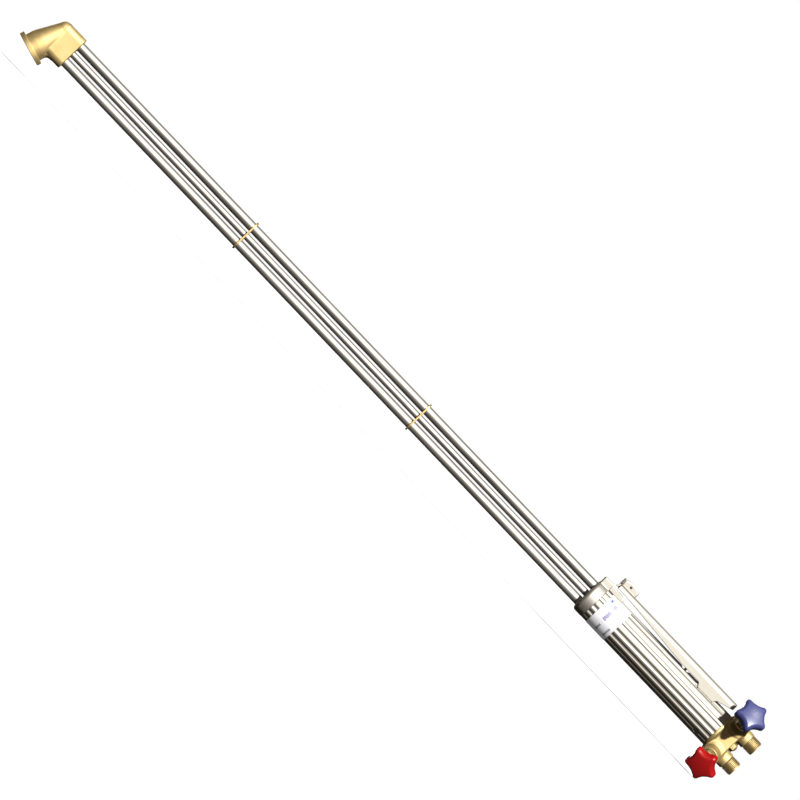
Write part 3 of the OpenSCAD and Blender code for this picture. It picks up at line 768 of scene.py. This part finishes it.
NUT_R, NUT_T = 9.6, 6.4
KNOB_REACH, KNOB_H, KNOB_R = 34.0, 10.9, 17.2
LOBES, HOLLOW_R, HOLLOW_AT = 5, 14.7, 27.2
SKIN_T, WELL_T, HUB_R, RIB_HALF_T = 2.2, 5.5, 5.2, 0.8
SHANK_R, SHANK_T = 2.65, 7.4
NEEDLE = [(4.6, 0), (4.6, 0.6), (6, 1.55), (7, 2.4), (7, 3.98), (12.5, 3.98), (12.5, 3),
          (13.5, 3), (13.5, 2.2), (15.5, 2.2), (15.5, 3), (31.2, 3), (31.2, 2.6), (41.2, 2.6), (41.2, 0)]


def nut_at(centre, out):
    """A gland nut: its hexagon, its stem in the boss and the spindle's bore."""
    def shape(p):
        nut = hexagon(p, centre, out, NUT_R, BOSS_LEN + 0.1, BOSS_LEN + 0.1 + NUT_T)
        stem = rod(p, centre, out, 5.95, 13.2, BOSS_LEN + 1, 0.3)
        holes = np.minimum(rod(p, centre, out, 3.05, 10, 30), rod(p, centre, out, 4.2, 10, 18.6))
        return cut(np.minimum(nut, stem), holes, 0.25)
    return shape


def knob_at(centre, out):
    """A star knob: rounded points, a crowned face and a ribbed hollow back."""
    tip = np.array([1.0, 0, 0])
    other = np.cross(out, tip)
    sector = 2 * math.pi / LOBES

    def shape(p):
        q = p - centre - KNOB_REACH * out
        t, a, b = q @ out, q @ tip, q @ other
        away, angle = np.hypot(a, b), np.arctan2(b, a)
        turn = np.mod(angle, sector) - sector / 2
        hollow = HOLLOW_R - np.hypot(away * np.cos(turn) - HOLLOW_AT, away * np.sin(turn))
        star = meet(away - KNOB_R, hollow, 2.0)
        crown = KNOB_H - 0.009 * away ** 2
        solid = meet(meet(star, (t - crown) * 0.95, 3.2), -t, 1.2)
        # the back: a hollow with a hub and a rib to each point
        rib = np.abs(away * np.sin(np.mod(angle + sector / 2, sector) - sector / 2)) - RIB_HALF_T
        well = meet(np.maximum(star + SKIN_T, -t - 1), t - WELL_T, 0.4)
        well = np.maximum(np.maximum(well, HUB_R - away), -np.minimum(rib, 9))
        solid = cut(solid, well, 0.4)
        return cut(solid, np.maximum(away - SHANK_R, between(t, -2, SHANK_T)), 0.2)
    return shape


for name, plastic in (("oxygen", BLUE), ("fuel", RED)):
    centre, out, side = VALVES[name]
    lo, hi = box_mm(name + "_gland_nut")
    cast(name + "_gland_nut_hex", nut_at(centre, out), lo - 1, hi + 1, 0.4, "torch_body", TURNED,
         [name + "_gland_nut"])
    lo, hi = box_mm(name + "_knob")
    cast(name + "_star_knob", knob_at(centre, out), lo - 1, hi + 1, 0.4, name + "_spindle_and_knob",
         plastic, [name + "_knob"])
    lathe(name + "_needle_spindle", NEEDLE, centre, out, name + "_spindle_and_knob", STEEL,
          [name + "_spindle"], steps=64)

# ---------------------------------------------------------------- handle

STEP_HALF_W, STEP_Z = 9.0, 25.4
FRONT_ROUNDING = 3.8
TONGUE_HALF_W, TONGUE_Z = 7.3, 23.6
TONGUE = softened([(SLEEVE_X - 1, 15), (SLEEVE_X - 1, TONGUE_Z), (SLEEVE_X + 14, TONGUE_Z),
                   (SLEEVE_X + 18.5, 21.4), (SLEEVE_X + 18.5, 15)], 0.8, 4)
HOOK_HALF_W = 3.0


def cap_shape(p):
    x, y, z = from_axis(p)
    away = np.hypot(y, z)
    drum = meet(meet(away - HANDLE_R, CAP_X - x, FRONT_ROUNDING), x - SLEEVE_X, 0.2)
    spigot = meet(away - BORE_R + 0.05, between(x, SLEEVE_X - 1, SLEEVE_X + 11), 0.4)
    rest = meet(meet(plate(y, z - STEP_Z / 2, STEP_HALF_W, STEP_Z / 2, 1.4), CAP_X + 1 - x, 1.2),
                x - SLEEVE_X - 0.2, 0.1)
    tongue = meet(outline(x, z, TONGUE), np.abs(y) - TONGUE_HALF_W, 0.8)
    tongue = cut(tongue, np.maximum(away - HANDLE_R - 0.05, SLEEVE_X - x), 0.1)
    solid = join(join(np.minimum(drum, spigot), rest, 0.8), tongue, 0.5)
    wide = HOOK_HALF_W + 0.4
    pocket = np.maximum(np.maximum(between(x, SLEEVE_X + 0.2, SLEEVE_X + 6.4), np.abs(y) - wide),
                        between(z, 19.9, 30))
    catch = np.maximum(np.maximum(between(x, SLEEVE_X - 1.4, SLEEVE_X + 0.6), np.abs(y) - wide),
                       between(z, 21.6, 24.2))
    hollow = np.maximum(away - BORE_R + 2.5, between(x, SLEEVE_X + 1, SLEEVE_X + 20))
    holes = np.minimum.reduce([pocket, catch, hollow, tube_holes(p, CAP_X - 5, SLEEVE_X + 20, 0.15)])
    return cut(solid, holes, 0.3)


lo, hi = box_mm("handle_front_cap")
cast("handle_cap_with_lever_rest", cap_shape, lo - 1, hi + 1, 0.45, "torch_body", NICKEL,
     ["handle_front_cap"])

FLUTES, FLUTE_R, FLUTE_DEPTH = 18, 3.2, 1.0
SLOT_W, SHORT_OF_REAR = 1.6, 46.0


def sleeve_shape(p):
    x, y, z = from_axis(p)
    away, angle = np.hypot(y, z), np.arctan2(z, y)
    pitch = 2 * math.pi / FLUTES
    turn = np.mod(angle, pitch) - pitch / 2
    flute = np.hypot(away * np.cos(turn) - HANDLE_R + FLUTE_DEPTH - FLUTE_R, away * np.sin(turn)) - FLUTE_R
    flute = np.where((z > 0) & (np.abs(y) < 0.6 * away), np.maximum(flute, x - BODY_X + SHORT_OF_REAR), flute)
    tube = meet(meet(away - HANDLE_R, BORE_R - away, 0), between(x, SLEEVE_X, BODY_X), 0.35)
    tube = cut(tube, flute, 0.3)
    slots = np.maximum(np.maximum(np.abs(np.abs(y) - WALL_Y - 0.6) - SLOT_W / 2, PIVOT[0] - 13.5 - x), 4 - z)
    holes = [slots, rod(p, CUTTING_VALVE, UP, 6.2, 0, 40)]
    for side in (1, -1):
        out = screw_out(side)
        t, off = axial(p, np.array([SCREW_X, 0, AXIS_Z]), out)
        holes.append(outline(t, off, [(5, -9), (5, 2.1), (HANDLE_R - 2.6, 2.1), (HANDLE_R - 0.9, 3.8),
                                      (30, 3.8), (30, -9)]))
    return cut(tube, np.minimum.reduce(holes), 0.2)


lo, hi = box_mm("handle_sleeve")
cast("handle_sleeve_fluted", sleeve_shape, lo - 2, hi + 2, (1.0, 0.42, 0.42), "torch_body", NICKEL,
     ["handle_sleeve"])


def screws_at(side):
    out = screw_out(side)

    def shape(p):
        t, off = axial(p, np.array([SCREW_X, 0, AXIS_Z]), out)
        screw = outline(t, off, [(HANDLE_R - 9, -9), (HANDLE_R - 9, 1.9), (HANDLE_R - 2.6, 1.95),
                                 (HANDLE_R - 0.95, 3.55), (HANDLE_R - 0.62, 3.4), (HANDLE_R - 0.62, -9)])
        across = (p - np.array([SCREW_X, 0, AXIS_Z])) @ np.cross(out, REAR)
        return cut(screw, np.maximum(np.abs(across) - 0.5, HANDLE_R - 1.5 - t), 0.08)
    return shape


for i, side in enumerate((1, -1)):
    head = np.array([SCREW_X, 0, AXIS_Z]) + (HANDLE_R - 4.5) * screw_out(side)
    cast(f"handle_screw_{i + 1}", screws_at(side), head - 6, head + 6, 0.25, "torch_body", STEEL,
         ["handle_screws"] if i == 0 else [])

# ---------------------------------------------------------------- label

LABEL_X, LABEL_END = box_mm("handle_label")[0][0], box_mm("handle_label")[1][0]
LABEL_R, LABEL_T = HANDLE_R + 0.03, 0.14
LABEL_GAP = math.radians(48)


def band(x0, x1, from_angle, to_angle, r, t):
    """A thin piece wrapped round the handle; angles are from the top towards the knobs' side."""
    steps = max(2, int(abs(to_angle - from_angle) / math.radians(2)))
    v, faces = [], []
    for a in np.linspace(from_angle, to_angle, steps + 1):
        for radius in (r, r + t):
            for x in (x0, x1):
                v.append((x, -radius * math.sin(a), AXIS_Z + radius * math.cos(a)))
    for i in range(steps):
        k = 4 * i
        faces += [[k + 2, k + 3, k + 7, k + 6], [k + 1, k, k + 4, k + 5], [k, k + 2, k + 6, k + 4],
                  [k + 3, k + 1, k + 5, k + 7]]
    faces += [[0, 1, 3, 2], [4 * steps + 2, 4 * steps + 3, 4 * steps + 1, 4 * steps]]
    return v, faces


v, faces = band(LABEL_X, LABEL_END, LABEL_GAP / 2, 2 * math.pi - LABEL_GAP / 2, LABEL_R, LABEL_T)
mesh_piece("handle_label_film", v, faces, "torch_body", FILM, ["handle_label"], sharp=30)


def print_marks(name, marks, material):
    """Printed marks as (start along the label, end, lower and upper height beside the axis)."""
    v, faces = [], []
    for x0, x1, z0, z1 in marks:
        a0, a1 = (math.acos(z / (LABEL_R + LABEL_T)) for z in (z0, z1))
        mark, quads = band(LABEL_X + x0, LABEL_X + x1, a0, a1, LABEL_R + LABEL_T - 0.02, 0.04)
        faces += [[k + len(v) for k in q] for q in quads]
        v += mark
    mesh_piece(name, v, faces, "torch_body", material, sharp=30)


# a row of bars, a small ring of squares and two columns of short lines, none of them letters
print_marks("label_violet_bars",
            [(8.2 + 0.5 * (i % 2), 12.7 - 0.4 * (i % 3), z, z + 0.9)
             for i, z in enumerate(np.arange(-5.6, 12.2, 1.28))], VIOLET)
print_marks("label_blue_mark", [(2.4, 5.2, 12.0, 13.6), (3.0, 4.6, 11.2, 14.2)], INK_BLUE)
print_marks("label_grey_lines",
            [(x, x + 2.2, z, z + 0.9) for x, low, high in ((10.4, -17.2, -11.6), (20.2, -16.6, -7.6))
             for z in np.arange(low, high, 1.3)], INK_GREY)

# ---------------------------------------------------------------- lever and latch

SHEET, BEND_R = 1.2, 5.4
LEVER_HALF_W = (LEVER_HI[1] - LEVER_LO[1]) / 2
LEVER_TOP = 31.2
LEVER_X, LEVER_END = LEVER_LO[0], LEVER_HI[0]
PIVOT_X, PIVOT_Z = PIVOT[0], PIVOT[2] - AXIS_Z
EAR_R, EAR_HALF_W = 6.0, 11.8
SIDE_WALL = softened([
    (LEVER_X, LEVER_TOP + 1), (LEVER_END, LEVER_TOP + 1), (LEVER_END, 24.4),
    (PIVOT_X + EAR_HALF_W + 1.6, 19.5), (PIVOT_X + EAR_HALF_W, 18), (PIVOT_X + EAR_R, PIVOT_Z),
    (PIVOT_X - EAR_R, PIVOT_Z), (PIVOT_X - EAR_HALF_W, 18), (PIVOT_X - EAR_HALF_W - 1.6, 19.6),
    (PIVOT_X - 40, 19.8), (LEVER_X + 15, 25.5), (LEVER_X, 25.8)], 0.9, 4)
LATCH_X, LATCH_Z = LATCH_PIN[0], LATCH_PIN[2] - AXIS_Z
BRACKET_Y, BRACKET_T, EDGE_STRETCH = 3.7, 1.2, 2.2


def lever_shape(p):
    x, y, z = from_axis(p)
    wall = np.minimum(outline(x, z, SIDE_WALL), np.hypot(x - PIVOT_X, z - PIVOT_Z) - EAR_R)
    outer = plate(y, z - LEVER_TOP + 30, LEVER_HALF_W, 30, BEND_R)
    inner = plate(y, z - LEVER_TOP + SHEET + 40, LEVER_HALF_W - SHEET, 40, BEND_R - SHEET)
    channel = meet(meet(outer, -inner, 0), wall, 0.35)
    # each bracket is a low dome of two arcs, its edge rounded wider than it is deep
    dome = np.maximum(np.hypot(x - LATCH_X - 0.6, z - LEVER_TOP + 7.7) - 16.4,
                      np.hypot(x - LATCH_X - 0.4, z - LATCH_Z + 1) - 9.6)
    bracket = meet(dome / EDGE_STRETCH, np.abs(y) - BRACKET_Y - BRACKET_T, 1.1)
    bracket = np.maximum.reduce([bracket, BRACKET_Y - np.abs(y), between(x, LATCH_X - 8.2, LATCH_X + 10),
                                 LEVER_TOP - 0.6 - z])
    holes = np.minimum(rod(p, PIVOT, ACROSS, 2.05, -30, 30), rod(p, LATCH_PIN, ACROSS, 1.25, -30, 30))
    return cut(join(channel, bracket, 0.5), holes, 0.12)


cast("lever_channel", lever_shape, LEVER_LO - 1.5, LEVER_HI + 1.5, (0.7, 0.36, 0.36), "lever", NICKEL,
     ["lever"])

PLATE_X, PLATE_T = LATCH_X - 10.7, 2.0
LATCH_BOSS_R, ARM_HALF_H, THUMB_HALF_H, THUMB_TAPER = 3.6, 2.7, 3.3, 0.7
HOOK_Z = 26.3
BARB = [(PLATE_X - 1.5, HOOK_Z), (PLATE_X + 1, HOOK_Z), (PLATE_X + 1, HOOK_Z + 2),
        (PLATE_X - 1.5, HOOK_Z + 0.8)]


def latch_shape(p):
    x, y, z = from_axis(p)
    boss = np.hypot(x - LATCH_X, z - LATCH_Z) - LATCH_BOSS_R
    arm = plate(x - (PLATE_X + 1 + LATCH_X) / 2, z - LATCH_Z + 0.9,
                (LATCH_X - PLATE_X - 1) / 2, ARM_HALF_H, 0.4)
    arm = meet(join(boss, arm, 1.0), np.abs(y) - BRACKET_Y + 0.2, 0.4)
    taper = (np.abs(y) - BRACKET_Y - THUMB_TAPER * (x - PLATE_X)) / math.hypot(1, THUMB_TAPER)
    thumb = meet(meet(plate(y, z - LATCH_Z + 0.5, BRACKET_Y + BRACKET_T, THUMB_HALF_H, 1.5), taper, 0.2),
                 between(x, PLATE_X, PLATE_X + PLATE_T), 0.4)
    stem = meet(plate(x - PLATE_X - 1, z - HOOK_Z - 4, 1, 4, 0.3), np.abs(y) - HOOK_HALF_W, 0.3)
    barb = meet(outline(x, z, BARB), np.abs(y) - HOOK_HALF_W, 0.2)
    solid = join(join(arm, thumb, 0.6), join(stem, barb, 0.3), 0.4)
    return cut(solid, rod(p, LATCH_PIN, ACROSS, 1.25, -30, 30), 0.12)


lo, hi = box_mm("lever_latch")
cast("lever_latch_hook", latch_shape, lo - 1, hi + 1, 0.28, "latch", NICKEL, ["lever_latch"])


def pin(name, centre, r, half, body, node):
    """A pin across the lever with chamfered and slightly domed ends."""
    end = [(-half, 0), (-half, r * 0.55), (-half + 0.15, r * 0.8), (-half + 0.5, r)]
    section = end + [(-t, a) for t, a in end[::-1]]
    v, faces = lathed(section, np.array(centre, float), ACROSS, 48)
    mesh_piece(name, v, faces, body, BLACKED, [node], sharp=30)


pin("lever_pivot_pin_turned", PIVOT, 2.0, 11.2, "torch_body", "lever_pivot_pin")
pin("latch_pin_turned", LATCH_PIN, 1.2, 5.0, "lever", "latch_pin")

SPRING_R, WIRE_R, SPRING_TURNS = 3.3, 0.45, 6


def coil_spring(low, high, steps=240, sides=12):
    """The cutting valve's spring, which the plunger comes down on, wound from low to high with a mesh of its own.
    """
    section = np.arange(sides) * 2 * math.pi / sides
    along, section = np.meshgrid(np.linspace(0, 1, steps + 1), section, indexing="ij")
    turn = 2 * math.pi * SPRING_TURNS * along
    r = SPRING_R + WIRE_R * np.cos(section)
    z = low + WIRE_R + along * (high - low - 2 * WIRE_R) + WIRE_R * np.sin(section)
    v = np.stack([CUTTING_VALVE_X + r * np.cos(turn), r * np.sin(turn), z], axis=-1).reshape(-1, 3)
    faces = []
    for i in range(0, steps * sides, sides):
        for j in range(sides):
            k = (j + 1) % sides
            faces.append((i + j, i + k, i + sides + k, i + sides + j))
    faces += [tuple(range(sides))[::-1], tuple(range(steps * sides, (steps + 1) * sides))]
    spring = mesh_piece("cutting_valve_coil_spring", v, faces, "torch_body", STEEL,
                        ["cutting_valve_spring"], sharp=60)
    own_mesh(spring)


lo, hi = box_mm("cutting_valve_spring")
coil_spring(lo[2], hi[2])


# ---------------------------------------------------------------- stage, light and camera

FLOOR_GAP = 0.0005
CAMERA_DISTANCE = 9.0
CAMERA_WIDTH = 0.7807     # how much of the object's plane the picture spans
CAMERA_CENTRE = Vector((0.4977, 0, AXIS_Z * MM - 0.0016))
CAMERA_ROLL = math.radians(46.366)


def make_floor():
    lo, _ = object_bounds()
    bpy.ops.mesh.primitive_grid_add(x_subdivisions=4, y_subdivisions=4, size=60)
    floor = bpy.context.object
    floor.name = "studio_floor"
    floor.location = (0.5, 0, lo.z - FLOOR_GAP)
    p = Paint("pale_floor", (0.92, 0.92, 0.92), 0.0, 0.8)
    p.color(p.blend(p.noise(2, 3), (0.93, 0.93, 0.93), (0.90, 0.90, 0.90)))
    floor.data.materials.append(p.material)
    floor.visible_glossy = floor.visible_diffuse = False


ROOM_LIGHT = (0.2, -0.8, 0.6)       # where the room is brightest
KEY_LIGHT = (0.219, -0.781, 0.586)
AMBIENT = 0.22


def ramp_along(tree, vector, direction, stops):
    """Colours that change with a ray's direction, stops given by its cosine to direction."""
    dot = tree.nodes.new("ShaderNodeVectorMath")
    dot.operation = "DOT_PRODUCT"
    dot.inputs[1].default_value = Vector(direction).normalized()
    tree.links.new(vector, dot.inputs[0])
    shift = tree.nodes.new("ShaderNodeMapRange")
    shift.inputs["From Min"].default_value = -1
    shift.inputs["From Max"].default_value = 1
    tree.links.new(dot.outputs["Value"], shift.inputs["Value"])
    ramp = tree.nodes.new("ShaderNodeValToRGB")
    tree.links.new(shift.outputs["Result"], ramp.inputs["Fac"])
    ramp.color_ramp.interpolation = "EASE"
    while len(ramp.color_ramp.elements) < len(stops):
        ramp.color_ramp.elements.new(0.5)
    for element, (cosine, color) in zip(ramp.color_ramp.elements, stops):
        element.position = (cosine + 1) / 2
        element.color = (*color, 1)
    return ramp.outputs["Color"]


def make_world():
    """White for the camera, an even fill for matt surfaces, a dim room for metal to reflect."""
    world = bpy.data.worlds.new("studio")
    bpy.context.scene.world = world
    world.use_nodes = True
    tree = world.node_tree
    tree.nodes.clear()
    coord = tree.nodes.new("ShaderNodeTexCoord")
    room = tree.nodes.new("ShaderNodeBackground")
    glow = ramp_along(tree, coord.outputs["Generated"], ROOM_LIGHT,
                      [(-1.0, (0.022, 0.018, 0.014)), (-0.2, (0.030, 0.025, 0.020)),
                       (0.5, (0.055, 0.050, 0.044)), (1.0, (0.12, 0.11, 0.10))])
    tree.links.new(glow, room.inputs["Color"])
    path = tree.nodes.new("ShaderNodeLightPath")
    shader = room.outputs["Background"]
    for ray, strength in (("Is Diffuse Ray", AMBIENT), ("Is Camera Ray", 1.0)):
        plain = tree.nodes.new("ShaderNodeBackground")
        plain.inputs["Color"].default_value = (1, 1, 1, 1)
        plain.inputs["Strength"].default_value = strength
        mix = tree.nodes.new("ShaderNodeMixShader")
        tree.links.new(path.outputs[ray], mix.inputs["Fac"])
        tree.links.new(shader, mix.inputs[1])
        tree.links.new(plain.outputs["Background"], mix.inputs[2])
        shader = mix.outputs["Shader"]
    out = tree.nodes.new("ShaderNodeOutputWorld")
    tree.links.new(shader, out.inputs["Surface"])


def make_sun(name, towards_light, energy, angle, only=()):
    """A sun lamp; if pieces are named in only, it lights no others."""
    data = bpy.data.lights.new(name, "SUN")
    data.energy = energy
    data.angle = math.radians(angle)
    sun = bpy.data.objects.new(name, data)
    sun.rotation_mode = "QUATERNION"
    sun.rotation_quaternion = Vector(towards_light).to_track_quat("Z", "Y")
    bpy.context.scene.collection.objects.link(sun)
    if only:
        lit = bpy.data.collections.new(name + "_receivers")
        for piece in only:
            lit.objects.link(bpy.data.objects[piece])
        sun.light_linking.receiver_collection = lit


def make_camera():
    data = bpy.data.cameras.new("camera")
    data.sensor_width = 36
    data.lens = data.sensor_width * CAMERA_DISTANCE / CAMERA_WIDTH
    data.clip_start, data.clip_end = 0.1, 60
    camera = bpy.data.objects.new("camera", data)
    right = Vector((math.cos(CAMERA_ROLL), 0, math.sin(CAMERA_ROLL)))
    up = Vector((-math.sin(CAMERA_ROLL), 0, math.cos(CAMERA_ROLL)))
    back = right.cross(up)
    turn = Matrix((right, up, back)).transposed().to_4x4()
    camera.matrix_world = Matrix.Translation(CAMERA_CENTRE + back * CAMERA_DISTANCE) @ turn
    bpy.context.scene.collection.objects.link(camera)
    bpy.context.scene.camera = camera


make_floor()
make_world()
make_sun("key", KEY_LIGHT, 6.0, 3)
make_sun("back_fill", (-0.25, 0.95, -0.15), 1.5, 25)
make_sun("knob_light", (0.10, -0.45, 0.89), 1.4, 8, ["oxygen_star_knob", "fuel_star_knob"])
make_camera()
bpy.context.scene.view_settings.view_transform = "Standard"
